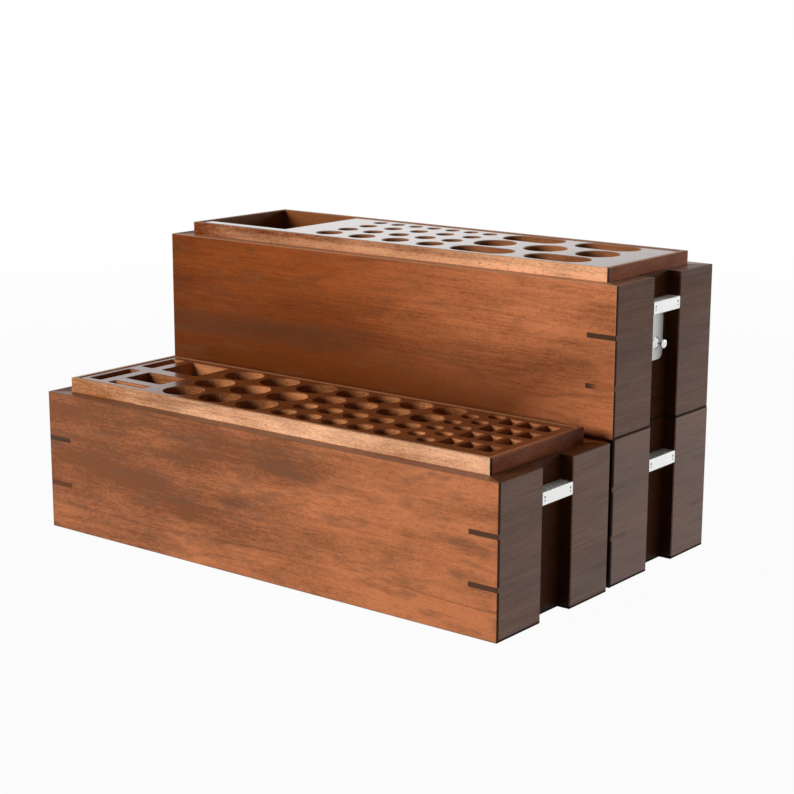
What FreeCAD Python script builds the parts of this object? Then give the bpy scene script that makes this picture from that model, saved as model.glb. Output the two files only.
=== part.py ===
import FreeCAD
import Part
import os

# Tiered desk organizer: three long hardwood boxes of one pattern. Two stand on the
# desk, one behind the other, and the third is stacked on the rear one. Every box has
# mitred corners with dark keys, a finger channel with a metal grip bar down each end,
# and a collar round its top that locates the box above and holds a perforated rack.
# All sizes are in millimetres. X runs along the boxes, Y from front to rear, Z up.
# The origin lies on the desk, in the middle of the whole object's footprint.

# One box, the same for all three
box_length = 350.0
box_depth = 110.0
box_height = 89.0
face_thickness = 9.0
end_thickness = 12.4
edge_break = 0.5

# Where the boxes stand
lower_gap = 6.5
lower_stagger = 2.0
upper_shift = -0.3
upper_overhang = 2.0

# Finger channel down each end board, a little behind its middle
channel_width = 30.0
channel_setback = 1.5
channel_web = 4.0

# Keys across the mitred corners, at these shares of the height
key_face_leg = 19.3
key_end_leg = 17.5
key_thickness = 3.0
key_levels = (0.335, 0.665)

# Bottom panel, held in grooves, and the relief below it for the collar of another box
panel_thickness = 4.0
panel_tongue = 2.0
panel_lip = 3.5
stack_play = 0.8
relief_side = 2.5
relief_end = 1.2

# Collar boards, which line the box and stand proud of it
collar_thickness = 3.0
lower_collar_rise = 9.2
upper_collar_rise = 8.1
collar_break = 0.4

# Rack plates and what carries them
plate_thickness = 10.0
plate_recess = 0.5
plate_play = 0.4
rim_break = 0.5
partition_thickness = 3.0
cleat_thickness = 4.0
cleat_height = 8.0

# Grip bars, with a drilling and a flush pin near each end
bar_height = 7.6
bar_drop = 14.5
rear_bar_drop = 20.3
bar_break = 0.35
pin_diameter = 1.3
pin_from_end = 2.3
pin_from_top = 4.9
pin_bite = 2.5
drilling_from_top = 2.9
drilling_depth = 3.0

# Flat bolts that slide through the grip bars of the upper box
bolt_width = 15.0
bolt_thickness = 1.5
bolt_play = 0.3
bolt_end_drop = 51.6
bolt_corner = 4.0
bolt_head_width = 20.0
bolt_head_height = 2.6
knob_drop = 41.4
knob_foot_diameter = 7.5
knob_foot_height = 2.0
knob_neck_diameter = 3.4
knob_neck_height = 2.2
knob_head_diameter = 5.6
knob_head_height = 2.0
rivet_diameter = 2.6

# Front rack, left end: two columns of slots, split between front and rear
slot_margin_x = 4.2
slot_margin_y = 5.1
slot_corner = 1.2
narrow_slot_width = 10.0
wide_slot_width = 31.5
slot_gap = 8.5
slot_split = 40.1
slot_split_width = 10.5
thin_slot_margin = 3.6
thin_slot_length = 6.5
thin_slot_gap = 8.5

# Front rack: a block of large holes
large_diameter = 25.0
large_pitch_x = 30.4
large_pitch_y = 27.6
large_margin = 3.1
large_gap = 10.5

# Front rack: medium holes at the rear and small ones before them
medium_diameter = 20.0
medium_pitch_x = 24.7
medium_pitch_y = 22.0
medium_columns = 4
small_diameter = 14.6
small_pitch = 19.3
small_columns = 5
small_margin = 3.6

# Front rack: two staggered columns of narrow holes
narrow_diameter = 9.8
narrow_pitch_x = 13.0
narrow_pitch_y = 17.1
narrow_columns = 2
narrow_margin = 5.2
narrow_stagger = 8.6
narrow_gap = 2.5

# Front rack, right end: small rectangular cells
cell_width = 8.75
cell_length = 13.0
cell_pitch_x = 13.0
cell_pitch_y = 19.0
cell_columns = 3
cell_margin_x = 6.1
cell_margin_y = 9.5
cell_gap = 3.8
cell_corner = 0.8

# Upper rack, left end: an open compartment
compartment_length = 67.1
compartment_rim = 10.0
plain_strip = 23.0

# Upper rack: rows of round holes, each with its place behind the plate's front edge,
# its diameter and its pitch
pen_rows = ((15.6, 17.5, 27.2), (36.1, 13.5, 21.2), (56.2, 12.0, 21.2), (74.4, 9.5, 15.0))
pen_gap = 7.4

# Upper rack, right end: round-ended slots before and behind a row of cup holes
long_slot_length = 43.7
long_slot_width = 22.2
long_slot_pitch = 54.2
long_slot_columns = 2
long_slot_margin = 21.0
cup_diameter = 27.0
cup_pitch = 37.4
cup_columns = 3
upper_rows_margin = 4.5
upper_rows_gap = 3.6

# Rear rack, hidden below the upper box: a plain frame of two compartments
frame_rim = 12.0
frame_corner = 3.0

# Least wood between two groups of holes, and behind the last row
least_web = 3.5
rear_rim = 1.6

# Places that follow from the sizes above, in a box's own frame
half_length = box_length / 2
middle_y = box_depth / 2
channel_x = half_length - end_thickness + channel_web
channel_y = middle_y + channel_setback
channel_y0 = channel_y - channel_width / 2
channel_y1 = channel_y + channel_width / 2
collar_x = half_length - end_thickness
collar_y0 = face_thickness
collar_y1 = box_depth - face_thickness
inner_x = collar_x - collar_thickness
inner_y0 = collar_y0 + collar_thickness
inner_y1 = collar_y1 - collar_thickness
plate_x = inner_x - plate_play
plate_y0 = inner_y0 + plate_play
plate_y1 = inner_y1 - plate_play
relief_height = lower_collar_rise + stack_play
panel_z = relief_height + panel_lip
floor_z = panel_z + panel_thickness
bolt_back = channel_x + bolt_play
bolt_front = bolt_back + bolt_thickness

# Where the eased corner edge meets the mitre between face board and end board
mitre_share = edge_break / (end_thickness + face_thickness)
mitre_tip_x = half_length - end_thickness * mitre_share
mitre_tip_y = face_thickness * mitre_share


def block(x0, x1, y0, y1, z0, z1):
    return Part.makeBox(x1 - x0, y1 - y0, z1 - z0, FreeCAD.Vector(x0, y0, z0))


def prism(outline, z0, z1):
    points = [FreeCAD.Vector(x, y, z0) for x, y in outline]
    face = Part.Face(Part.makePolygon(points + points[:1]))
    return face.extrude(FreeCAD.Vector(0, 0, z1 - z0))


def round_hole(x, y, diameter, z0, z1):
    return Part.makeCylinder(diameter / 2, z1 - z0, FreeCAD.Vector(x, y, z0))


def square_hole(x0, x1, y0, y1, corner, z0, z1):
    hole = block(x0, x1, y0, y1, z0, z1)
    uprights = [edge for edge in hole.Edges if edge.BoundBox.ZLength > (z1 - z0) / 2]
    return hole.makeFillet(corner, uprights)


def long_hole(x0, x1, y0, y1, z0, z1):
    radius = (y1 - y0) / 2
    middle = (y0 + y1) / 2

    def point(x, y):
        return FreeCAD.Vector(x, y, z0)

    edges = [
        Part.LineSegment(point(x0 + radius, y0), point(x1 - radius, y0)),
        Part.Arc(point(x1 - radius, y0), point(x1, middle), point(x1 - radius, y1)),
        Part.LineSegment(point(x1 - radius, y1), point(x0 + radius, y1)),
        Part.Arc(point(x0 + radius, y1), point(x0, middle), point(x0 + radius, y0)),
    ]
    wire = Part.Wire([edge.toShape() for edge in edges])
    return Part.Face(wire).extrude(FreeCAD.Vector(0, 0, z1 - z0))


def along_x(x0, x1, y, z, diameter):
    start = FreeCAD.Vector(x0, y, z)
    return Part.makeCylinder(diameter / 2, x1 - x0, start, FreeCAD.Vector(1, 0, 0))


def other_end(shape):
    return shape.mirror(FreeCAD.Vector(0, 0, 0), FreeCAD.Vector(1, 0, 0))


def other_side(shape):
    return shape.mirror(FreeCAD.Vector(0, middle_y, 0), FreeCAD.Vector(0, 1, 0))


def at(edge, **places):
    return all(
        abs(getattr(vertex.Point, axis) - place) < 1e-6
        for axis, place in places.items()
        for vertex in edge.Vertexes
    )


def eased(shape, size, wanted):
    # Chamfers the edges that lie at one of the wanted places
    edges = [edge for edge in shape.Edges if any(at(edge, **place) for place in wanted)]
    return shape.makeChamfer(size, edges)


def row(first, end, size, pitch):
    # Centres from the first one on, as many as stay whole before the end
    centres = []
    centre = first
    while centre + size / 2 < end:
        centres.append(centre)
        centre += pitch
    return centres


def panel_space():
    x = collar_x + panel_tongue
    y0 = collar_y0 - panel_tongue
    return block(-x, x, y0, box_depth - y0, panel_z, floor_z)


def relief_space():
    x = collar_x + relief_end
    y0 = collar_y0 - relief_side
    return block(-x, x, y0, box_depth - y0, 0, relief_height)


def corner_keys(corner_line):
    # One pair of keys, at the front right corner
    outline = [(half_length - key_face_leg, 0), *corner_line, (half_length, key_end_leg)]
    pair = []
    for level in key_levels:
        bottom = box_height * level - key_thickness / 2
        pair.append(prism(outline, bottom, bottom + key_thickness))
    return pair


def all_corners(pair):
    right = pair + [other_side(key) for key in pair]
    return right + [other_end(key) for key in right]


def face_board():
    outline = [
        (-collar_x, collar_y0),
        (-mitre_tip_x, mitre_tip_y),
        (-half_length + edge_break, 0),
        (half_length - edge_break, 0),
        (mitre_tip_x, mitre_tip_y),
        (collar_x, collar_y0),
    ]
    board = prism(outline, 0, box_height)
    board = eased(board, edge_break, [{"y": 0, "z": 0}, {"y": 0, "z": box_height}])
    kerfs = all_corners(corner_keys([(half_length, 0)]))
    return board.cut(kerfs + [panel_space(), relief_space()])


def end_board(bar_top):
    outline = [
        (collar_x, collar_y0),
        (mitre_tip_x, mitre_tip_y),
        (half_length, edge_break),
        (half_length, channel_y0),
        (channel_x, channel_y0),
        (channel_x, channel_y1),
        (half_length, channel_y1),
        (half_length, box_depth - edge_break),
        (mitre_tip_x, box_depth - mitre_tip_y),
        (collar_x, collar_y1),
    ]
    board = prism(outline, 0, box_height)
    outer_edges = [
        {"x": half_length, "z": 0},
        {"x": half_length, "z": box_height},
        {"x": half_length, "y": channel_y0},
        {"x": half_length, "y": channel_y1},
    ]
    board = eased(board, edge_break, outer_edges)
    kerfs = all_corners(corner_keys([(half_length, 0)]))
    return board.cut(kerfs + [panel_space(), relief_space()] + grip_pins(bar_top))


def collar_boards(rise):
    top = box_height + rise
    face_outline = [
        (-collar_x, collar_y0),
        (collar_x, collar_y0),
        (inner_x, inner_y0),
        (-inner_x, inner_y0),
    ]
    face = prism(face_outline, floor_z, top)
    face = eased(face, collar_break, [{"y": collar_y0, "z": top}, {"y": inner_y0, "z": top}])
    end_outline = [
        (collar_x, collar_y0),
        (collar_x, collar_y1),
        (inner_x, inner_y1),
        (inner_x, inner_y0),
    ]
    end = prism(end_outline, floor_z, top)
    end = eased(end, collar_break, [{"x": collar_x, "z": top}, {"x": inner_x, "z": top}])
    return {
        "collar_face": face,
        "collar_back": other_side(face),
        "collar_left": other_end(end),
        "collar_right": end,
    }


def grip_pins(bar_top):
    # The two pins of the right-hand bar, flush with its face
    z = bar_top - pin_from_top
    places = (channel_y0 + pin_from_end, channel_y1 - pin_from_end)
    return [along_x(channel_x - pin_bite, half_length, y, z, pin_diameter) for y in places]


def grip_bar(bar_top):
    bottom = bar_top - bar_height
    bar = block(channel_x, half_length, channel_y0, channel_y1, bottom, bar_top)
    front_edges = [{"x": half_length, "z": bottom}, {"x": half_length, "z": bar_top}]
    bar = eased(bar, bar_break, front_edges)
    drillings = [
        along_x(half_length - drilling_depth, half_length, y, bar_top - drilling_from_top, pin_diameter)
        for y in (channel_y0 + pin_from_end, channel_y1 - pin_from_end)
    ]
    return bar.cut(drillings + grip_pins(bar_top))


def bolt_way(bar_top):
    # Slot behind a grip bar that lets the bolt slide, wider at the top where its head sinks in
    front = bolt_front + bolt_play
    slot = bolt_width / 2 + bolt_play
    seat = bolt_head_width / 2 + bolt_play
    shoulder = bar_top - bolt_head_height
    return [
        block(channel_x, front, channel_y - slot, channel_y + slot, bar_top - bar_height, bar_top),
        block(channel_x, front, channel_y - seat, channel_y + seat, shoulder, bar_top),
    ]


def bolt(bar_top):
    half = bolt_width / 2
    half_head = bolt_head_width / 2
    bottom = box_height - bolt_end_drop
    shoulder = bar_top - bolt_head_height
    blade = block(bolt_back, bolt_front, channel_y - half, channel_y + half, bottom, shoulder)
    sides = (channel_y - half, channel_y + half)
    corners = [edge for edge in blade.Edges for side in sides if at(edge, y=side, z=bottom)]
    blade = blade.makeFillet(bolt_corner, corners)
    head = block(bolt_back, bolt_front, channel_y - half_head, channel_y + half_head, shoulder, bar_top)
    strip = blade.fuse(head).removeSplitter()
    return strip.cut(along_x(bolt_back, bolt_front, channel_y, box_height - knob_drop, rivet_diameter))


def bolt_knob():
    # Turned about X: rivet shank, tapered foot, neck and a head with a domed face
    z = box_height - knob_drop
    neck_x = bolt_front + knob_foot_height
    head_x = neck_x + knob_neck_height
    rim = knob_head_height / 3
    shank = along_x(bolt_back, bolt_front, channel_y, z, rivet_diameter)
    start = FreeCAD.Vector(bolt_front, channel_y, z)
    foot_radius = knob_foot_diameter / 2
    neck_radius = knob_neck_diameter / 2
    foot = Part.makeCone(foot_radius, neck_radius, knob_foot_height, start, FreeCAD.Vector(1, 0, 0))
    neck = along_x(neck_x, head_x, channel_y, z, knob_neck_diameter)
    head = along_x(head_x, head_x + knob_head_height, channel_y, z, knob_head_diameter)
    face = [edge for edge in head.Edges if at(edge, x=head_x + knob_head_height)]
    return head.makeFillet(knob_head_height - rim, face).fuse([shank, foot, neck]).removeSplitter()


def front_slots(z0, z1):
    narrow_x = -plate_x + slot_margin_x
    wide_x = narrow_x + narrow_slot_width + slot_gap
    front = plate_y0 + slot_margin_y
    rear = plate_y1 - slot_margin_y
    split = plate_y0 + slot_split
    thin_y = plate_y0 + thin_slot_margin
    square_y = thin_y + thin_slot_length + thin_slot_gap
    narrow = (narrow_x, narrow_x + narrow_slot_width)
    wide = (wide_x, wide_x + wide_slot_width)
    spans = [
        (*narrow, front, split),
        (*narrow, split + slot_split_width, rear),
        (*wide, thin_y, thin_y + thin_slot_length),
        (*wide, square_y, split),
        (*wide, split + slot_split_width, rear),
    ]
    return [square_hole(*span, slot_corner, z0, z1) for span in spans], wide[1]


def front_rack(top):
    z0 = top - plate_thickness
    last_y = plate_y1 - rear_rim
    holes, slots_end = front_slots(z0, top)

    last_cell = plate_x - cell_margin_x - cell_width / 2
    first_cell_y = plate_y0 + cell_margin_y + cell_length / 2
    for column in range(cell_columns):
        x = last_cell - column * cell_pitch_x
        for y in row(first_cell_y, last_y, cell_length, cell_pitch_y):
            sides = (x - cell_width / 2, x + cell_width / 2, y - cell_length / 2, y + cell_length / 2)
            holes.append(square_hole(*sides, cell_corner, z0, top))
    cells_start = x - cell_width / 2

    last_narrow = cells_start - cell_gap - narrow_diameter / 2
    first_narrow_y = plate_y0 + narrow_margin + narrow_diameter / 2
    for column in range(narrow_columns):
        x = last_narrow - column * narrow_pitch_x
        first_y = first_narrow_y + column * narrow_stagger
        for y in row(first_y, last_y, narrow_diameter, narrow_pitch_y):
            holes.append(round_hole(x, y, narrow_diameter, z0, top))
    middle_end = x - narrow_diameter / 2 - narrow_gap

    medium_last_y = last_y - medium_diameter / 2
    for column in range(medium_columns):
        x = middle_end - medium_diameter / 2 - column * medium_pitch_x
        for y in (medium_last_y, medium_last_y - medium_pitch_y):
            holes.append(round_hole(x, y, medium_diameter, z0, top))
    middle_start = x - medium_diameter / 2

    first_small_y = plate_y0 + small_margin + small_diameter / 2
    small_end_y = medium_last_y - medium_pitch_y - medium_diameter / 2 - least_web
    for column in range(small_columns):
        x = middle_end - small_diameter / 2 - column * small_pitch
        for y in row(first_small_y, small_end_y, small_diameter, small_pitch):
            holes.append(round_hole(x, y, small_diameter, z0, top))

    first_large = slots_end + large_gap + large_diameter / 2
    first_large_y = plate_y0 + large_margin + large_diameter / 2
    for x in row(first_large, middle_start - least_web, large_diameter, large_pitch_x):
        for y in row(first_large_y, last_y, large_diameter, large_pitch_y):
            holes.append(round_hole(x, y, large_diameter, z0, top))
        large_end = x + large_diameter / 2

    plate = block(-plate_x, plate_x, plate_y0, plate_y1, z0, top).cut(holes)
    return {
        "rack_plate": eased(plate, rim_break, [{"z": top}]),
        "rack_partition_left": partition(slots_end + large_gap / 2, z0),
        "rack_partition_right": partition((large_end + middle_start) / 2, z0),
        "cleat_left": other_end(cleat(z0)),
        "cleat_right": cleat(z0),
    }


def upper_rack(top):
    z0 = top - plate_thickness
    last_y = plate_y1 - rear_rim
    divider_x = -inner_x + compartment_length
    rim_y = inner_y0 + compartment_rim
    outline = [
        (-plate_x, plate_y0),
        (plate_x, plate_y0),
        (plate_x, plate_y1),
        (divider_x, plate_y1),
        (divider_x, rim_y),
        (-plate_x, rim_y),
    ]
    holes = []

    slots_end = plate_x - long_slot_margin
    slots_middle = slots_end - (long_slot_length + long_slot_pitch * (long_slot_columns - 1)) / 2
    first_cup = slots_middle - cup_pitch * (cup_columns - 1) / 2
    y = plate_y0 + upper_rows_margin
    for size in (long_slot_width, cup_diameter, long_slot_width):
        if y + size < last_y and size == cup_diameter:
            for column in range(cup_columns):
                x = first_cup + column * cup_pitch
                holes.append(round_hole(x, y + size / 2, size, z0, top))
        elif y + size < last_y:
            for column in range(long_slot_columns):
                x = slots_end - column * long_slot_pitch
                holes.append(long_hole(x - long_slot_length, x, y, y + size, z0, top))
        y += size + upper_rows_gap

    pens_end = first_cup - cup_diameter / 2 - pen_gap
    pens_start = divider_x + plain_strip
    for place, diameter, pitch in pen_rows:
        y = plate_y0 + place
        if y + diameter / 2 < last_y:
            # Counted from the right-hand end, so the row runs along minus X
            for x in row(diameter / 2 - pens_end, -pens_start, diameter, pitch):
                holes.append(round_hole(-x, y, diameter, z0, top))

    plate = prism(outline, z0, top).cut(holes)
    front_divider = block(-plate_x, divider_x, rim_y - partition_thickness, rim_y, floor_z, z0)
    return {
        "rack_plate": eased(plate, rim_break, [{"z": top}]),
        "compartment_divider_right": partition(divider_x + partition_thickness / 2, z0),
        "compartment_divider_front": front_divider,
        "rack_partition": partition(pens_end + pen_gap / 2, z0),
        "cleat_right": cleat(z0),
    }


def rear_rack(top):
    z0 = top - plate_thickness
    y0 = plate_y0 + frame_rim
    y1 = plate_y1 - frame_rim
    opening = square_hole(frame_rim / 2, plate_x - frame_rim, y0, y1, frame_corner, z0, top)
    plate = block(-plate_x, plate_x, plate_y0, plate_y1, z0, top)
    plate = plate.cut([opening, other_end(opening)])
    return {
        "rack_plate": eased(plate, rim_break, [{"z": top}]),
        "rack_partition": partition(0, z0),
        "cleat_left": other_end(cleat(z0)),
        "cleat_right": cleat(z0),
    }


def partition(x, top):
    half = partition_thickness / 2
    return block(x - half, x + half, plate_y0, plate_y1, floor_z, top)


def cleat(top):
    return block(inner_x - cleat_thickness, inner_x, inner_y0, inner_y1, top - cleat_height, top)


def box(rise, drop, rack):
    bar_top = box_height - drop
    keys = all_corners(corner_keys([(half_length - edge_break, 0), (half_length, edge_break)]))
    pins = grip_pins(bar_top)
    return {
        "face_board": face_board(),
        "back_board": other_side(face_board()),
        "left_end": other_end(end_board(bar_top)),
        "right_end": end_board(bar_top),
        "bottom_panel": panel_space(),
        "corner_keys": Part.makeCompound(keys),
        **collar_boards(rise),
        **rack(box_height + rise - plate_recess),
        "left_grip_bar": other_end(grip_bar(bar_top)),
        "right_grip_bar": grip_bar(bar_top),
        "grip_pins": Part.makeCompound(pins + [other_end(pin) for pin in pins]),
    }


def upper_box():
    bar_top = box_height - bar_drop
    pieces = box(upper_collar_rise, bar_drop, upper_rack)
    slotted = pieces["right_grip_bar"].cut(bolt_way(bar_top))
    pieces["left_grip_bar"] = other_end(slotted)
    pieces["right_grip_bar"] = slotted
    pieces["left_bolt"] = other_end(bolt(bar_top))
    pieces["right_bolt"] = bolt(bar_top)
    pieces["left_bolt_knob"] = other_end(bolt_knob())
    pieces["right_bolt_knob"] = bolt_knob()
    return pieces


def placed(name, pieces, x, y, z):
    offset = FreeCAD.Vector(x, y, z)
    return {f"{name}_{piece}": shape.translated(offset) for piece, shape in pieces.items()}


def organizer():
    front_y = -lower_gap / 2 - box_depth
    rear_y = lower_gap / 2
    front = box(lower_collar_rise, bar_drop, front_rack)
    rear = box(lower_collar_rise, rear_bar_drop, rear_rack)
    return {
        **placed("front", front, lower_stagger / 2, front_y, 0),
        **placed("rear", rear, -lower_stagger / 2, rear_y, 0),
        **placed("upper", upper_box(), upper_shift, rear_y - upper_overhang, box_height),
    }


os.makedirs("parts", exist_ok=True)
for node, shape in organizer().items():
    solids = shape.Solids
    solid = solids[0] if len(solids) == 1 else Part.makeCompound(solids)
    solid.exportStep(f"parts/{node}.step")
    print(node, len(solids), round(solid.Volume), solid.isValid())
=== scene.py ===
import math

import bpy
from mathutils import Euler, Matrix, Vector


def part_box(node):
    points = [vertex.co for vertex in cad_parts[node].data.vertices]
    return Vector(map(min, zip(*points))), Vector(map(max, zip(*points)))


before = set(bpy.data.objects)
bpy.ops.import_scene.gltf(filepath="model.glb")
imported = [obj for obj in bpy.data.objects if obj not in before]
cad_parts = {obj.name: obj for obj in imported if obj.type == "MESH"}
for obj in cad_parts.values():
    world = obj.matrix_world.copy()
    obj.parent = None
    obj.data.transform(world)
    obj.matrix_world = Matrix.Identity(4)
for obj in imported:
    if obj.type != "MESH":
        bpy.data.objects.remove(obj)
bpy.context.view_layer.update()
print("stage: frame loaded,", len(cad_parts), "nodes")


# Shader maths: a wrapped number socket, so that sums read as plain expressions
class Number:
    def __init__(self, recipe, socket):
        self.recipe = recipe
        self.socket = socket

    def calculate(self, operation, *values):
        inputs = {index: value for index, value in enumerate(values)}
        return self.recipe.value("ShaderNodeMath", {"operation": operation}, inputs)

    def __add__(self, other):
        return self.calculate("ADD", self, other)

    def __radd__(self, other):
        return self.calculate("ADD", other, self)

    def __sub__(self, other):
        return self.calculate("SUBTRACT", self, other)

    def __rsub__(self, other):
        return self.calculate("SUBTRACT", other, self)

    def __mul__(self, other):
        return self.calculate("MULTIPLY", self, other)

    def __rmul__(self, other):
        return self.calculate("MULTIPLY", other, self)

    def __pow__(self, other):
        return self.calculate("POWER", self, other)

    def larger(self, other):
        return self.calculate("MAXIMUM", self, other)

    def clamped(self):
        return self.calculate("MINIMUM", self.larger(0.0), 1.0)

    def sine(self):
        return self.calculate("SINE", self)

    # 1 between low and high, 0 outside, with edges as soft as blur
    def within(self, low, high, blur):
        return self.step(low - blur, low) * (1.0 - self.step(high, high + blur))

    # 1 near a place on this axis, 0 further off than width; full is the share of the width that stays at 1
    def near(self, place, width, full=0.6):
        return 1.0 - self.calculate("ABSOLUTE", self - place).step(width * full, width)

    # 0 below low, 1 above high, with a soft step between them
    def step(self, low, high):
        settings = {"interpolation_type": "SMOOTHSTEP"}
        inputs = {"Value": self, "From Min": low, "From Max": high}
        return self.recipe.value("ShaderNodeMapRange", settings, inputs)


# One node tree being built, for a material or for the world
class Recipe:
    def __init__(self, tree):
        self.tree = tree
        tree.nodes.clear()

    # Settings come first, then the values or links of the sockets, by name or by place
    def add(self, kind, settings={}, inputs={}):
        node = self.tree.nodes.new(kind)
        for key, value in settings.items():
            setattr(node, key, value)
        byIdentifier = {socket.identifier: socket for socket in node.inputs}
        for key, value in inputs.items():
            socket = byIdentifier[key] if key in byIdentifier else node.inputs[key]
            if isinstance(value, Number):
                value = value.socket
            if isinstance(value, bpy.types.NodeSocket):
                self.tree.links.new(value, socket)
            elif socket.type == "RGBA" and len(value) == 3:
                socket.default_value = (*value, 1.0)
            else:
                socket.default_value = value
        return node

    def value(self, kind, settings={}, inputs={}, output=0):
        return Number(self, self.add(kind, settings, inputs).outputs[output])

    def mixed(self, factor, first, second, blend="MIX"):
        settings = {"data_type": "RGBA", "blend_type": blend}
        inputs = {"Factor_Float": factor, "A_Color": first, "B_Color": second}
        return self.add("ShaderNodeMix", settings, inputs).outputs[2]

    def axes(self, place):
        split = self.add("ShaderNodeSeparateXYZ", {}, {0: place})
        return [Number(self, split.outputs[axis]) for axis in "XYZ"]

    def bump(self, height, relief):
        inputs = {"Height": height, "Distance": relief["depth"], "Strength": relief["strength"]}
        return self.add("ShaderNodeBump", {}, inputs).outputs[0]

    # 1 where the camera looks, directly or in a reflection; 0 for light that falls on the object
    def seen(self):
        path = self.add("ShaderNodeLightPath").outputs
        rays = Number(self, path["Is Camera Ray"]) + path["Is Glossy Ray"] + path["Is Transmission Ray"]
        return rays.clamped()

    # Noise with a wavelength in metres along each axis
    def noise(self, place, sizes, detail=2.0, roughness=0.5):
        multiply = {"operation": "MULTIPLY"}
        scale = tuple(1.0 / size for size in sizes)
        stretched = self.add("ShaderNodeVectorMath", multiply, {0: place, 1: scale}).outputs[0]
        inputs = {"Vector": stretched, "Scale": 1.0, "Detail": detail, "Roughness": roughness}
        return self.value("ShaderNodeTexNoise", {"noise_dimensions": "3D"}, inputs)


def newMaterial(name):
    material = bpy.data.materials.new(name)
    material.use_nodes = True
    return material, Recipe(material.node_tree)


skin = 0.0003  # how deep the mask of a surface reaches into its piece, in metres

# Layers of the walnut's pattern: wavelengths in metres along the grain and across it, and their noise
layers = {
    "cloud": {"along": 0.160, "across": 0.030, "detail": 2.0, "roughness": 0.45},
    "patch": {"along": 0.040, "across": 0.014, "detail": 2.0, "roughness": 0.55},
    "figure": {"along": 0.260, "across": 0.034, "detail": 1.0, "roughness": 0.4},
    "streak": {"along": 0.050, "across": 0.0017, "detail": 3.0, "roughness": 0.65},
    "fine": {"along": 0.0080, "across": 0.0006, "detail": 2.0, "roughness": 0.6},
    "mottle": {"along": 0.0240, "across": 0.0075, "detail": 2.0, "roughness": 0.6},
    "pore": {"along": 0.0026, "across": 0.00048, "detail": 1.0, "roughness": 0.5},
    "porePatch": {"along": 0.0600, "across": 0.0060, "detail": 2.0, "roughness": 0.5},
    "fleck": {"along": 0.0020, "across": 0.0013, "detail": 2.0, "roughness": 0.6},
}

# How far each piece's seed moves the pattern along each axis, and where it starts
patternShift = ((1.37, 0.0), (0.71, 0.3), (0.53, 0.2))

# Marks that come out of those layers: pairs say where a mark begins and where it is full
marks = {
    "figureLines": 40.0,
    "lineSharpness": 9.0,
    "lineBreaks": (0.42, 0.62),
    "mottleEdge": (0.48, 0.76),
    "poreEdge": (0.60, 0.72),
    "porePatches": 0.9,
    "poreLeast": 0.25,
}

# Relief of the grain in metres, and what each mark adds to it and to the roughness
grainRelief = {
    "depth": 0.00004,
    "strength": 0.8,
    "streaks": 0.5,
    "fineGrain": 0.3,
    "pores": 0.9,
    "lines": 0.2,
}
grainRoughness = {"streaks": 0.10, "pores": 0.20}

# Walnut: its colours, how strongly each layer and mark shows, its polish, and the looks that a board may add
walnut = {
    "light": (0.430, 0.135, 0.030),
    "dark": (0.190, 0.045, 0.008),
    "line": (0.070, 0.020, 0.006),
    "mottle": (0.120, 0.048, 0.020),
    "pore": (0.060, 0.020, 0.008),
    "tone": 0.5,
    "contrast": 1.0,
    "lean": 0.0,
    "clouds": 1.4,
    "patches": 0.8,
    "streaks": 0.5,
    "fineGrain": 0.8,
    "flecks": 0.6,
    "rings": 0.10,
    "lines": 0.30,
    "mottling": 0.40,
    "pores": 0.55,
    "roughness": 0.34,
    "gloss": 0.5,
    "lighter": None,
    "rise": None,
    "band": None,
    "shade": None,
    "cut": None,
    "faint": None,
    "edges": None,
    "mitre": None,
    "coat": None,
    "dullShaded": None,
}


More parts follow.
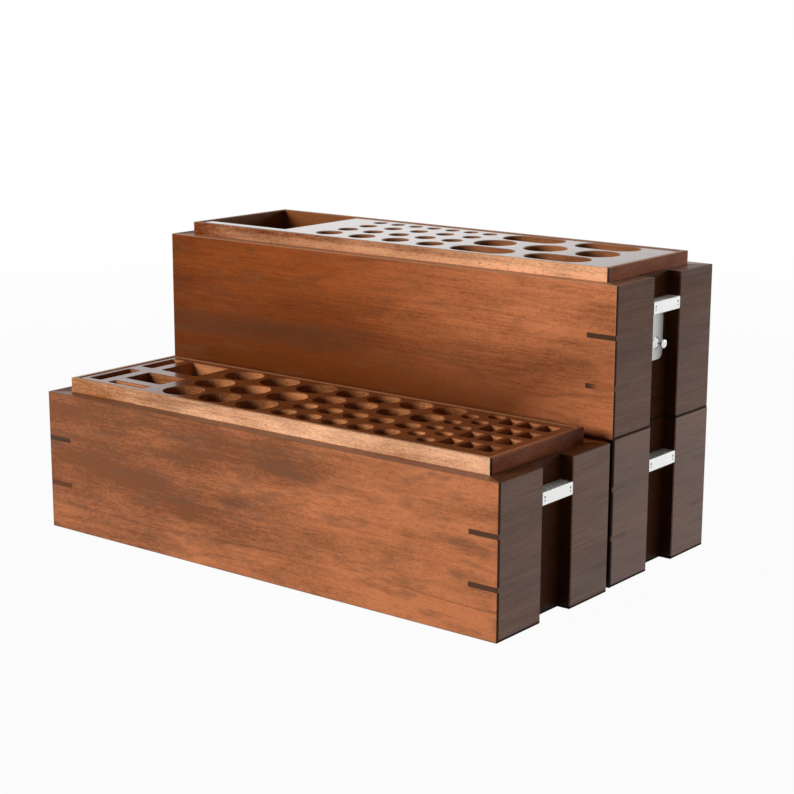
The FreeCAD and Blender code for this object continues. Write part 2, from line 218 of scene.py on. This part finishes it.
# One board being coloured: its look, its box and axes, and the layers of its grain
class Board:
    def __init__(self, recipe, wood, box, along, seed):
        self.recipe = recipe
        self.wood = wood
        self.low, self.high = box
        whole = recipe.add("ShaderNodeTexCoord").outputs["Object"]
        self.x, self.y, self.z = recipe.axes(whole)
        turn = {"x": (0.0, 0.0, 0.0), "y": (0.0, 0.0, math.pi / 2)}[along]
        shift = tuple(seed * rate + start for rate, start in patternShift)
        mapping = {"Vector": whole, "Location": shift, "Rotation": turn}
        place = recipe.add("ShaderNodeMapping", {}, mapping).outputs[0]
        self.grain = {}
        for name, layer in layers.items():
            sizes = (layer["along"], layer["across"], layer["across"])
            self.grain[name] = recipe.noise(place, sizes, layer["detail"], layer["roughness"])
        self.rings = (self.grain["figure"] * marks["figureLines"]).sine() * 0.5 + 0.5
        unbroken = self.grain["porePatch"].step(*marks["lineBreaks"])
        self.lines = self.rings ** marks["lineSharpness"] * unbroken
        porous = (self.grain["porePatch"] * marks["porePatches"] + marks["poreLeast"]).clamped()
        self.pores = self.grain["pore"].step(*marks["poreEdge"]) * porous * wood["pores"]

    # How light the wood is: 0 dark, 1 light
    def tone(self):
        wood, grain = self.wood, self.grain
        tone = wood["clouds"] * (grain["cloud"] - 0.5) + wood["patches"] * (grain["patch"] - 0.5)
        tone = tone + wood["streaks"] * (grain["streak"] - 0.5) + wood["fineGrain"] * (grain["fine"] - 0.5)
        tone = tone + wood["flecks"] * (grain["fleck"] - 0.5) + wood["rings"] * (self.rings - 0.5)
        tone = tone * wood["contrast"] + wood["tone"]
        if wood["lean"]:
            tone = tone + self.x * wood["lean"]
        if wood["rise"]:
            # Painted shade: darker towards the lower edge, as share of the tone, and less so towards the right
            # end
            rise = wood["rise"]
            share = self.z.step(*rise["between"]) * (rise["high"] - rise["low"]) + rise["low"]
            tone = tone.clamped() * share.larger(self.x.step(*rise["until"]) * rise["end"])
        # A paler stripe along the lower edge; on the upper collar face it is a painted highlight
        if wood["band"]:
            band = wood["band"]
            inside = 1.0 - self.bandHeight().step(band["top"] - band["blur"], band["top"] + band["blur"])
            tone = tone + inside * band["gain"] * self.x.step(*band["from"])
        return tone.clamped()

    # How high each spot lies for the paler stripe along one edge, whose limit wavers with the grain
    def bandHeight(self):
        band = self.wood["band"]
        height = self.z + (self.grain["figure"] - 0.5) * band["waver"]
        return height + (self.grain["streak"] - 0.5) * band["fray"]

    # The dark grain line where that stripe ends
    def bandLine(self):
        band = self.wood["band"]
        offset = (self.bandHeight() - band["top"]) * (1.0 / band["lineWidth"])
        unbroken = self.grain["porePatch"].step(*band["lineBreaks"])
        return (1.0 - offset * offset).clamped() * unbroken * band["line"]

    def woodColour(self, tone):
        wood, recipe = self.wood, self.recipe
        light = wood["light"]
        if wood["lighter"]:
            light = recipe.mixed(self.x.step(*wood["lighter"]["along"]), light, wood["lighter"]["colour"])
        mottling = self.grain["mottle"].step(*marks["mottleEdge"]) * wood["mottling"]
        colour = recipe.mixed(tone, wood["dark"], light)
        colour = recipe.mixed(mottling, colour, wood["mottle"])
        colour = recipe.mixed(self.lines * wood["lines"], colour, wood["line"])
        if wood["band"]:
            colour = recipe.mixed(self.bandLine(), colour, wood["line"])
        return recipe.mixed(self.pores, colour, wood["pore"])

    # A long smoky streak along the grain
    def shaded(self, colour):
        shade = self.wood["shade"]
        centre = self.z - shade["height"] + (self.grain["cloud"] - 0.5) * shade["waver"]
        offset = centre * (1.0 / shade["width"])
        smoke = (1.0 - offset * offset).clamped() * (1.0 - self.x.step(*shade["along"]))
        smoke = smoke * (self.grain["patch"] * shade["patches"] + shade["least"]).clamped() * shade["share"]
        return self.recipe.mixed(smoke, colour, shade["colour"])

    # Walls of the holes: bare wood below the polished top, painted paler as a highlight of the light on them
    def bareLitHoleWalls(self, colour, tone):
        wall = 1.0 - self.z.step(self.high[2] - 2.0 * skin, self.high[2] - skin)
        return self.recipe.mixed(wall, colour, self.recipe.mixed(tone, *self.wood["cut"]))

    # 1 on the two end faces
    def ends(self):
        return self.x.near(self.low[0], skin).larger(self.x.near(self.high[0], skin))

    # Keys that hardly show: on the end boards, and in front where the left or lower ones are asked for
    def faintKeys(self, colour):
        faint, blur = self.wood["faint"], self.wood["faint"]["blur"]
        left = 1.0 - self.x.step(-faint["blurAlong"], faint["blurAlong"])
        middleHeight = (self.low[2] + self.high[2]) / 2
        lower = 1.0 - self.z.step(middleHeight - blur, middleHeight + blur)
        hidden = (left * faint["left"]).larger(lower * self.x.step(*faint["tip"]) * faint["lower"])
        hidden = hidden.larger(left * lower * faint["lowerLeft"])
        middle = (self.low[1] + self.high[1]) / 2
        hidden = hidden * (1.0 - self.y.step(middle - blur, middle + blur))
        around = self.recipe.mixed(left, faint["woodRight"], faint["wood"])
        colour = self.recipe.mixed(hidden, colour, around)
        return self.recipe.mixed(self.ends(), colour, faint["end"])

    # Eased edges: a pale line along the top and the corners, rubbed wood with a painted highlight on it, and a
    # ledge line along the top in the same colour; a dark painted shadow line along the bottom
    def easedEdges(self, colour):
        edges, low, high = self.wood["edges"], self.low, self.high
        width = edges["width"]
        nearX = self.x.near(low[0], width).larger(self.x.near(high[0], width))
        nearY = self.y.near(low[1], width).larger(self.y.near(high[1], width))
        beside = nearX.larger(nearY)
        rubbedAndLit = (self.grain["streak"] * edges["rubAndSheen"] + edges["leastRubAndSheen"]).clamped()
        pale = self.z.near(high[2], width) * beside * edges["top"]
        pale = pale.larger(nearX * nearY * edges["corner"]) * rubbedAndLit
        pale = pale.larger(self.z.near(high[2], edges["ledgeWidth"]) * edges["ledge"])
        colour = self.recipe.mixed(pale, colour, edges["pale"])
        bottomShadowLine = self.z.near(low[2], width) * beside * edges["bottom"]
        return self.recipe.mixed(bottomShadowLine, colour, edges["bottomShadow"])

    # Dark line at the front mitre, at the right: glue on the collars, and painted shade in the gap on the rear
    # face board
    def mitreGlueAndShade(self, colour):
        mitre = self.wood["mitre"]
        seam = self.y.near(self.low[1], mitre["width"]) * self.x.near(self.high[0], mitre["reach"])
        return self.recipe.mixed(seam, colour, mitre["colour"])

    # Dull, dark wood over the polish: painted shade in the finger channel, deepest on its flanks, and along
    # the bottom rim; a darker top, a dark line at the front mitre and a fade up the face
    def dullShadedShader(self, colour, normal, polished):
        dullShaded, recipe = self.wood["dullShaded"], self.recipe
        outer = self.high[0] if self.high[0] > 0.0 else self.low[0]
        front, rear = dullShaded["channel"]
        flankAway = (rear - front) / 2 - dullShaded["flankWidth"]
        channel = self.y.within(front, rear, skin) * (1.0 - self.x.near(outer, dullShaded["outerDepth"]))
        flank = (1.0 - self.y.near((front + rear) / 2, flankAway)) * channel
        top = self.z.near(self.high[2], dullShaded["topWidth"])
        rim = self.z.near(self.low[2], dullShaded["rimWidth"])
        mitreLine = self.y.near(self.low[1], dullShaded["mitreLineWidth"]) * self.x.near(outer, dullShaded["mitreLineDepth"])
        darker = recipe.mixed(1.0, colour, dullShaded["darkening"], "MULTIPLY")
        darker = recipe.mixed(flank * dullShaded["flank"], darker, dullShaded["shadeAndLineColour"])
        darker = recipe.mixed(mitreLine.larger(rim), darker, dullShaded["shadeAndLineColour"])
        dull = recipe.add("ShaderNodeBsdfPrincipled", {}, {
            "Base Color": darker,
            "Roughness": dullShaded["roughness"],
            "Normal": normal,
            "Specular IOR Level": dullShaded["gloss"],
        })
        fade = self.z.step(*dullShaded["fade"]) * dullShaded["fadeShare"]
        fade = fade + (self.grain["streak"] - 0.5) * dullShaded["grain"] + dullShaded["least"]
        factor = (channel * dullShaded["share"]).larger(rim).larger(top * dullShaded["topShare"])
        factor = factor.larger(mitreLine * dullShaded["mitreLineShare"]).larger(fade.clamped())
        return recipe.add("ShaderNodeMixShader", {}, {0: factor, 1: polished.outputs[0], 2: dull.outputs[0]})


def woodMaterial(name, box, changes={}, along="x", seed=0.0):
    wood = {**walnut, **changes}
    material, recipe = newMaterial(name)
    board = Board(recipe, wood, box, along, seed)
    tone = board.tone()
    colour = board.woodColour(tone)
    coatWeight = 0.0
    coatRoughness = wood["roughness"]
    if wood["shade"]:
        colour = board.shaded(colour)
    if wood["cut"]:
        colour = board.bareLitHoleWalls(colour, tone)
    if wood["faint"]:
        colour = board.faintKeys(colour)
        coatWeight = board.ends() * wood["faint"]["coat"]
    if wood["edges"]:
        colour = board.easedEdges(colour)
    if wood["mitre"]:
        colour = board.mitreGlueAndShade(colour)
    if wood["coat"]:
        # A thicker polish at the left, thinning out to the right
        coatWeight = (1.0 - board.x.step(*wood["coat"]["along"])) * wood["coat"]["weight"]
        coatRoughness = wood["coat"]["roughness"]

    streak = board.grain["streak"] - 0.5
    fine = board.grain["fine"] - 0.5
    roughness = wood["roughness"] + streak * grainRoughness["streaks"]
    roughness = roughness + board.pores * grainRoughness["pores"]
    height = streak * grainRelief["streaks"] + fine * grainRelief["fineGrain"]
    height = height - board.pores * grainRelief["pores"] - board.lines * grainRelief["lines"]
    normal = recipe.bump(height, grainRelief)
    shader = recipe.add("ShaderNodeBsdfPrincipled", {}, {
        "Base Color": colour,
        "Roughness": roughness,
        "Normal": normal,
        "Specular IOR Level": wood["gloss"],
        "Coat Weight": coatWeight,
        "Coat Roughness": coatRoughness,
    })
    if wood["dullShaded"]:
        shader = board.dullShadedShader(colour, normal, shader)
    recipe.add("ShaderNodeOutputMaterial", {}, {"Surface": shader.outputs[0]})
    return material


# Satin aluminium and steel: sizes in metres of the brush marks and of the smudges on them
metals = {
    "gripAluminium": {"colour": (0.81, 0.82, 0.81), "roughness": 0.42, "brush": (0.03, 0.03, 0.0004)},
    "boltSteel": {"colour": (0.52, 0.52, 0.51), "roughness": 0.36, "brush": (0.0004, 0.0004, 0.02)},
    "knobSteel": {"colour": (0.74, 0.74, 0.73), "roughness": 0.28, "brush": (0.0004, 0.002, 0.002)},
    "pinSteel": {"colour": (0.30, 0.30, 0.30), "roughness": 0.40, "brush": (0.002, 0.0006, 0.0006)},
}
brushed = {"depth": 0.00001, "strength": 0.6, "roughness": 0.16}
smudged = {"size": (0.012, 0.012, 0.012), "dark": 0.94, "roughness": 0.08}

# Painted shade in the two small drillings of a grip bar: their place from its ends and top, their radius,
# the depths at which the shade begins and is full, and the share of their area that stays fully dark
drilling = {
    "fromEnd": 0.0023,
    "fromTop": 0.0029,
    "radius": 0.00072,
    "depths": (0.0001, 0.0003),
    "full": 0.9,
    "colour": (0.05, 0.045, 0.04),
}

# The sawn top of a bar is rough and stained
barTop = {
    "dark": (0.16, 0.15, 0.13),
    "light": (0.52, 0.50, 0.47),
    "stains": (0.0030, 0.0012, 0.0030),
    "stainEdge": (0.35, 0.65),
    "roughness": 0.2,
}


def drilled(recipe, colour, low, high, axes):
    x, y, z = axes
    depth = (high[0] - x) if high[0] > 0.0 else (x - low[0])
    drop = z - (high[2] - drilling["fromTop"])
    area = drilling["radius"] ** 2
    for centre in (low[1] + drilling["fromEnd"], high[1] - drilling["fromEnd"]):
        reach = (y - centre) * (y - centre) + drop * drop
        holeShade = (1.0 - reach.step(drilling["full"] * area, area)) * depth.step(*drilling["depths"])
        colour = recipe.mixed(holeShade, colour, drilling["colour"])
    return colour


def metalMaterial(name, bar=None, changes={}):
    metal = {**metals[name], **changes}
    material, recipe = newMaterial(name)
    place = recipe.add("ShaderNodeTexCoord").outputs["Object"]
    brush = recipe.noise(place, metal["brush"], detail=3.0, roughness=0.6) - 0.5
    smudge = recipe.noise(place, smudged["size"])
    dark = tuple(smudged["dark"] * part for part in metal["colour"])
    colour = recipe.mixed(smudge, dark, metal["colour"])
    roughness = metal["roughness"] + brush * brushed["roughness"] + (smudge - 0.5) * smudged["roughness"]
    if bar:
        low, high = bar
        axes = recipe.axes(place)
        sawn = axes[2].near(high[2], skin)
        stains = recipe.noise(place, barTop["stains"], detail=3.0, roughness=0.7).step(*barTop["stainEdge"])
        colour = drilled(recipe, colour, low, high, axes)
        colour = recipe.mixed(sawn, colour, recipe.mixed(stains, barTop["dark"], barTop["light"]))
        roughness = roughness + sawn * barTop["roughness"]
    shader = recipe.add("ShaderNodeBsdfPrincipled", {}, {
        "Base Color": colour,
        "Metallic": 1.0,
        "Roughness": roughness,
        "Normal": recipe.bump(brush, brushed),
    })
    recipe.add("ShaderNodeOutputMaterial", {}, {"Surface": shader.outputs[0]})
    return material


# Eased edges: their widths in metres, how far each shows, and their two colours: pale for rubbed wood with a
# painted highlight, dark for a painted shadow along the bottom
edgeLook = {
    "width": 0.0007,
    "ledgeWidth": 0.0004,
    "rubAndSheen": 1.2,
    "leastRubAndSheen": 0.3,
    "top": 0.2,
    "corner": 0.4,
    "bottom": 0.8,
    "ledge": 0.0,
    "pale": (0.560, 0.280, 0.150),
    "bottomShadow": (0.030, 0.014, 0.008),
}

# Colour of a key on an end board, and of one that hardly shows on a long side, with shares by place;
# the blurs in metres soften the limits between left and right, and between lower and upper or front and rear
faintLook = {
    "blurAlong": 0.01,
    "blur": 0.002,
    "end": (0.150, 0.052, 0.015),
    "coat": 0.4,
    "wood": (0.120, 0.036, 0.010),
    "woodRight": (0.120, 0.036, 0.010),
    "left": 0.0,
    "lower": 0.0,
    "lowerLeft": 0.75,
    "tip": (0.1565, 0.1655),
}

# What sets each kind of board apart from plain walnut; cut is the dark and light of the hole walls, bare wood
# with a painted highlight
boards = {
    "face": {"edges": edgeLook},
    # painted shade: the end boards are coloured darker than the long sides
    "end": {
        "light": (0.290, 0.105, 0.030),
        "dark": (0.150, 0.045, 0.012),
        "mottling": 0.25,
        "edges": {**edgeLook, "corner": 0.0},
    },
    "collar": {
        "light": (0.850, 0.470, 0.270),
        "dark": (0.360, 0.145, 0.055),
        "tone": 0.6,
        "gloss": 0.25,
        "roughness": 0.30,
        "mottling": 0.2,
        "pores": 0.8,
        "edges": {**edgeLook, "bottom": 0.3},
    },
    "rack": {
        "light": (0.270, 0.080, 0.018),
        "dark": (0.150, 0.042, 0.010),
        "roughness": 0.22,
        "mottling": 0.2,
        "cut": ((0.150, 0.048, 0.012), (0.580, 0.250, 0.100)),
    },
    "panel": {"light": (0.260, 0.105, 0.035), "dark": (0.140, 0.050, 0.016), "roughness": 0.45},
    "key": {
        "light": (0.080, 0.034, 0.016),
        "dark": (0.036, 0.015, 0.008),
        "gloss": 0.12,
        "mottling": 0.0,
        "lines": 0.0,
        "faint": faintLook,
    },
}

# What single boards show besides; pairs of places along X or up Z say where a change begins and ends
boardLooks = {
    "front_face_board": {
        "light": (0.490, 0.160, 0.056),
        "dark": (0.165, 0.044, 0.008),
        "lean": 2.5,
        "tone": 0.47,
        "contrast": 1.25,
        "streaks": 0.7,
        "mottling": 0.55,
        "gloss": 0.24,
        "band": {
            "top": 0.021,
            "blur": 0.002,
            "gain": 0.18,
            "from": (-0.09, -0.02),
            "line": 0.45,
            "lineWidth": 0.0009,
            "lineBreaks": (0.30, 0.55),
            "waver": 0.03,
            "fray": 0.004,
        },
        # painted shade: the dark ledge line under the collar, along the top of the front face board
        "edges": {**edgeLook, "ledge": 0.7, "top": 0.0, "corner": 0.0, "pale": (0.110, 0.036, 0.010)},
    },
    "upper_face_board": {
        "light": (0.270, 0.064, 0.012),
        "lighter": {"along": (-0.06, 0.15), "colour": (0.545, 0.182, 0.072)},
        "dark": (0.105, 0.022, 0.003),
        "lean": 1.75,
        "tone": 0.72,
        "streaks": 1.1,
        "contrast": 0.9,
        "gloss": 0.04,
        # painted shade: the upper face board darker towards its lower edge, less so at the right end
        "rise": {"between": (0.089, 0.155), "low": 0.05, "high": 1.0, "until": (0.08, 0.165), "end": 0.78},
        "shade": {
            "height": 0.1215,
            "width": 0.009,
            "along": (-0.06, 0.05),
            "waver": 0.014,
            "patches": 0.9,
            "least": 0.5,
            "share": 0.5,
            "colour": (0.060, 0.026, 0.012),
        },
        # painted highlight: the pale ledge line along the top of the upper face board
        "edges": {**edgeLook, "ledge": 0.55},
    },
    "upper_collar_face": {
        "light": (0.840, 0.425, 0.220),
        "dark": (0.140, 0.026, 0.002),
        # painted highlight: the paler lower part of the upper collar face
        "band": {
            "top": 0.1818,
            "blur": 0.0010,
            "gain": 0.26,
            "from": (-0.17, -0.06),
            "line": 0.0,
            "lineWidth": 0.0009,
            "lineBreaks": (0.30, 0.55),
            "waver": 0.004,
            "fray": 0.004,
        },
        "lean": 2.5,
        "tone": 0.32,
        "contrast": 0.7,
        "gloss": 0.06,
    },
    "front_collar_face": {
        "dark": (0.300, 0.105, 0.030),
        "lean": 1.3,
        "tone": 0.52,
        "contrast": 1.3,
        "gloss": 0.15,
    },
    "front_rack_plate": {
        "light": (0.235, 0.060, 0.010),
        "dark": (0.125, 0.030, 0.005),
        "gloss": 0.12,
        "cut": ((0.120, 0.034, 0.008), (0.600, 0.240, 0.095)),
        "coat": {"weight": 0.5, "roughness": 0.12, "along": (-0.13, -0.06)},
    },
    # painted shade: the rear collar board of the front box is coloured dark, along the foot of the upper face
    # board
    "front_collar_back": {"light": (0.190, 0.058, 0.014), "dark": (0.110, 0.030, 0.006), "gloss": 0.1},
    "upper_collar_back": {"light": (0.260, 0.082, 0.020), "dark": (0.155, 0.043, 0.008)},
    "upper_collar_left": {"light": (0.180, 0.056, 0.013), "dark": (0.100, 0.028, 0.006)},
    "upper_collar_right": {
        "light": (0.640, 0.190, 0.080),
        "dark": (0.300, 0.075, 0.024),
        "gloss": 0.06,
        "edges": {**edgeLook, "top": 0.9},
        "mitre": {"width": 0.0028, "reach": 0.0006, "colour": (0.020, 0.008, 0.004)},
    },
    "front_collar_right": {
        "light": (0.560, 0.170, 0.070),
        "dark": (0.180, 0.048, 0.016),
        "gloss": 0.06,
        "edges": {**edgeLook, "top": 0.5},
        "mitre": {"width": 0.0028, "reach": 0.0006, "colour": (0.020, 0.008, 0.004)},
    },
    "rear_face_board": {
        "gloss": 0.1,
        # painted shade: the strip of the rear face board seen through the gap at its right end
        "mitre": {"width": 0.0010, "reach": 0.0065, "colour": (0.020, 0.007, 0.003)},
    },
    "upper_rack_plate": {
        "roughness": 0.14,
        "gloss": 0.6,
        "cut": ((0.140, 0.042, 0.012), (0.360, 0.135, 0.050)),
        "coat": {"weight": 0.9, "roughness": 0.10, "along": (-0.02, 0.18)},
    },
    "upper_corner_keys": {
        "gloss": 0.05,
        "faint": {
            **faintLook,
            "wood": (0.112, 0.026, 0.006),
            "woodRight": (0.340, 0.105, 0.036),
            "left": 0.97,
            "lower": 0.9,
        },
    },
    "upper_right_end": {"gloss": 0.33},
}

# Dull, dark places of an end board, with painted shade in the channel and along the rim: depths and widths in
# metres, shares of the dull finish, and a fade up it
dullShadedLook = {
    "roughness": 0.6,
    "gloss": 0.04,
    "outerDepth": 0.0010,
    "flankWidth": 0.0004,
    "topWidth": 0.0006,
    "rimWidth": 0.0021,
    "mitreLineDepth": 0.0006,
    "darkening": (0.42, 0.34, 0.30),
    "share": 0.92,
    "flank": 0.55,
    "topShare": 0.8,
    "shadeAndLineColour": (0.020, 0.009, 0.005),
    "mitreLineWidth": 0.0020,
    "mitreLineShare": 0.92,
    "fade": (0.0, 0.09),
    "fadeShare": 0.0,
    "grain": 0.9,
    "least": 0.04,
}
dullShadedChanges = {
    "front_right_end": {"least": 0.17, "topShare": 0.9},
    "upper_right_end": {"fade": (0.11, 0.18), "fadeShare": 0.36, "least": 0.17, "topShare": 0.4},
}

# Kind of board and way of the grain for each piece of a box
pieceWood = {
    "face_board": ("face", "x"),
    "back_board": ("face", "x"),
    "left_end": ("end", "y"),
    "right_end": ("end", "y"),
    "corner_keys": ("key", "x"),
    "collar_face": ("collar", "x"),
    "collar_back": ("collar", "x"),
    "collar_left": ("collar", "y"),
    "collar_right": ("collar", "y"),
    "rack_plate": ("rack", "x"),
    "rack_partition": ("panel", "y"),
    "rack_partition_left": ("panel", "y"),
    "rack_partition_right": ("panel", "y"),
    "compartment_divider_right": ("panel", "y"),
    "compartment_divider_front": ("panel", "x"),
    "cleat_left": ("panel", "y"),
    "cleat_right": ("panel", "y"),
    "bottom_panel": ("panel", "x"),
}

pieceMetal = {
    "left_grip_bar": "gripAluminium",
    "right_grip_bar": "gripAluminium",
    "grip_pins": "pinSteel",
    "left_bolt": "boltSteel",
    "right_bolt": "boltSteel",
    "left_bolt_knob": "knobSteel",
    "right_bolt_knob": "knobSteel",
}

# The bar beside the photographed bolt is duller than the others
barLooks = {"upper_right_grip_bar": {"colour": (0.68, 0.69, 0.68)}}

# The pattern's seed grows from piece to piece, so that no two boards show the same figure
seedStart = 0.11
seedStep = 0.37

for index, node in enumerate(sorted(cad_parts)):
    piece = node.split("_", 1)[1]
    if piece in pieceMetal:
        name = pieceMetal[piece]
        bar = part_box(node) if piece.endswith("grip_bar") else None
        finish = metalMaterial(name, bar, barLooks.get(node, {}))
    else:
        kind, along = pieceWood[piece]
        changes = {**boards[kind], **boardLooks.get(node, {})}
        if kind == "end":
            barLow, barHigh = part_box(node.replace("end", "grip_bar"))
            channel = {"channel": (barLow[1], barHigh[1])}
            changes["dullShaded"] = {**dullShadedLook, **dullShadedChanges.get(node, {}), **channel}
        finish = woodMaterial(f"{node}Wood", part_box(node), changes, along, seed=seedStep * index + seedStart)
    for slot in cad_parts[node].material_slots:
        slot.material = finish
print("stage: woods and metals on")


# Surroundings: white to the camera and in reflections, and a dim fill light for the object
surroundings = {"fill": (0.045, 0.045, 0.047), "seen": (1.0, 1.0, 1.0)}

# Floor: pale, white to the camera and in reflections, with the object's shadow on it
floorLook = {"size": 40.0, "colour": (0.40, 0.405, 0.41), "white": 0.96, "whiteFrom": (0.4, 1.6)}


def makeFloor():
    half = floorLook["size"] / 2
    mesh = bpy.data.meshes.new("floor")
    corners = [(-half, -half, 0), (half, -half, 0), (half, half, 0), (-half, half, 0)]
    mesh.from_pydata(corners, [], [(0, 1, 2, 3)])
    floor = bpy.data.objects.new("floor", mesh)
    bpy.context.scene.collection.objects.link(floor)
    material, recipe = newMaterial("floorPaint")
    matt = recipe.add("ShaderNodeBsdfDiffuse", {}, {"Color": floorLook["colour"]})
    white = recipe.add("ShaderNodeEmission", {}, {"Color": surroundings["seen"], "Strength": 1.0})
    whole = recipe.add("ShaderNodeTexCoord").outputs["Object"]
    distance = recipe.value("ShaderNodeVectorMath", {"operation": "LENGTH"}, {0: whole}, 1)
    whiteness = distance.step(*floorLook["whiteFrom"]) * (1.0 - floorLook["white"]) + floorLook["white"]
    factor = recipe.seen() * whiteness
    mixed = recipe.add("ShaderNodeMixShader", {}, {0: factor, 1: matt.outputs[0], 2: white.outputs[0]})
    recipe.add("ShaderNodeOutputMaterial", {}, {"Surface": mixed.outputs[0]})
    mesh.materials.append(material)


def makeWorld():
    world = bpy.data.worlds.new("studio")
    world.use_nodes = True
    bpy.context.scene.world = world
    recipe = Recipe(world.node_tree)
    colour = recipe.mixed(recipe.seen(), surroundings["fill"], surroundings["seen"])
    background = recipe.add("ShaderNodeBackground", {}, {"Color": colour, "Strength": 1.0})
    recipe.add("ShaderNodeOutputWorld", {}, {"Surface": background.outputs[0]})


# Soft boxes: where each stands, its sides in metres and its watts; all face the same spot on the object
lampTarget = (0.0, 0.0, 0.08)
lamps = {
    "keyBox": {"place": (-0.95, -2.15, 0.85), "sides": (0.9, 0.8), "watts": 68.0},
    "rearBox": {"place": (1.00, 2.40, 0.55), "sides": (0.7, 0.6), "watts": 30.0},
    "topBox": {"place": (-0.4, 0.1, 2.2), "sides": (1.6, 1.2), "watts": 3.0},
}


def makeLamps():
    for name, lamp in lamps.items():
        light = bpy.data.lights.new(name, "AREA")
        light.shape = "RECTANGLE"
        light.size = lamp["sides"][0]
        light.size_y = lamp["sides"][1]
        light.energy = lamp["watts"]
        box = bpy.data.objects.new(name, light)
        bpy.context.scene.collection.objects.link(box)
        box.location = lamp["place"]
        towards = Vector(lampTarget) - Vector(lamp["place"])
        box.rotation_euler = towards.to_track_quat("-Z", "Y").to_euler()


# Camera, fitted to corners of the object in the photo
cameraPlace = {
    "location": (0.70169512, -0.87057136, 0.34231709),
    "degrees": (77.28788511, -0.2015414, 38.13399466),
    "lens": 82.93231,
    "sensor": 36.0,
    "farthest": 50.0,
}


def makeCamera():
    data = bpy.data.cameras.new("camera")
    data.sensor_width = cameraPlace["sensor"]
    data.lens = cameraPlace["lens"]
    data.clip_end = cameraPlace["farthest"]
    camera = bpy.data.objects.new("camera", data)
    bpy.context.scene.collection.objects.link(camera)
    camera.location = cameraPlace["location"]
    camera.rotation_euler = Euler([math.radians(angle) for angle in cameraPlace["degrees"]])
    bpy.context.scene.camera = camera


makeFloor()
makeWorld()
makeLamps()
makeCamera()
bpy.context.scene.view_settings.view_transform = "Standard"
print("stage: floor, lamps and camera set")
